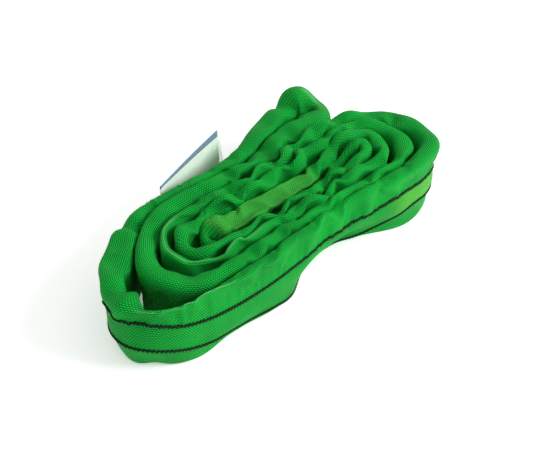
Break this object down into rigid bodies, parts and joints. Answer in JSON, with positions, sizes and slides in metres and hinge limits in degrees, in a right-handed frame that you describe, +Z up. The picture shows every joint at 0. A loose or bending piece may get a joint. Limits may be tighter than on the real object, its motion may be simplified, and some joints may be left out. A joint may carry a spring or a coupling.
{
  "type": "round sling",
  "caption": "Endless polyester lifting sling: a woven sleeve round a yarn core, laid double and wound up on edge in a flat coil, with a sewn-on swinging label.",
  "frame": {"origin": "on the surface the coil stands on, under the middle of its bounding box", "axes": "+Z up, across the width of the sleeve; +X along the coil's long side, towards the end where the outer bight lies; +Y towards the side that carries the label"},
  "size_m": [0.256, 0.119, 0.0508],
  "materials": {
    "sleeve": "woven polyester, matt, dashed rows along the sleeve",
    "core_yarn": "raw untwisted polyester yarn, slightly silky",
    "tape": "crepe tape, matt",
    "tracer": "coarse plied thread, near-black green, matt",
    "thread": "sewing thread, matt",
    "label_tab": "hemmed end of the label, matt",
    "label_print": "off-white satin label stock with a blue printed border",
    "film": "clear cover film, slightly green at its edge"
  },
  "bodies": {
    "root": {"cover_sleeve": "sleeve", "core_bundle_1": "core_yarn", "core_bundle_2": "core_yarn", "core_bundle_3": "core_yarn", "core_bundle_4": "core_yarn", "core_tape": "tape", "tracer_lower": "tracer", "tracer_upper": "tracer", "closing_seam_1": "thread", "closing_seam_2": "thread", "label_tab": "label_tab", "label_stitching": "thread"},
    "label": {"label_sheet": "label_print", "label_film": "film"}
  },
  "joints": [
    {"name": "label_hinge", "type": "hinge", "parent": "root", "child": "label", "pos_m": [-0.04429, 0.03564, 0.0265], "axis": [0, 0, 1], "range_deg": [-10, 95]}
  ]
}
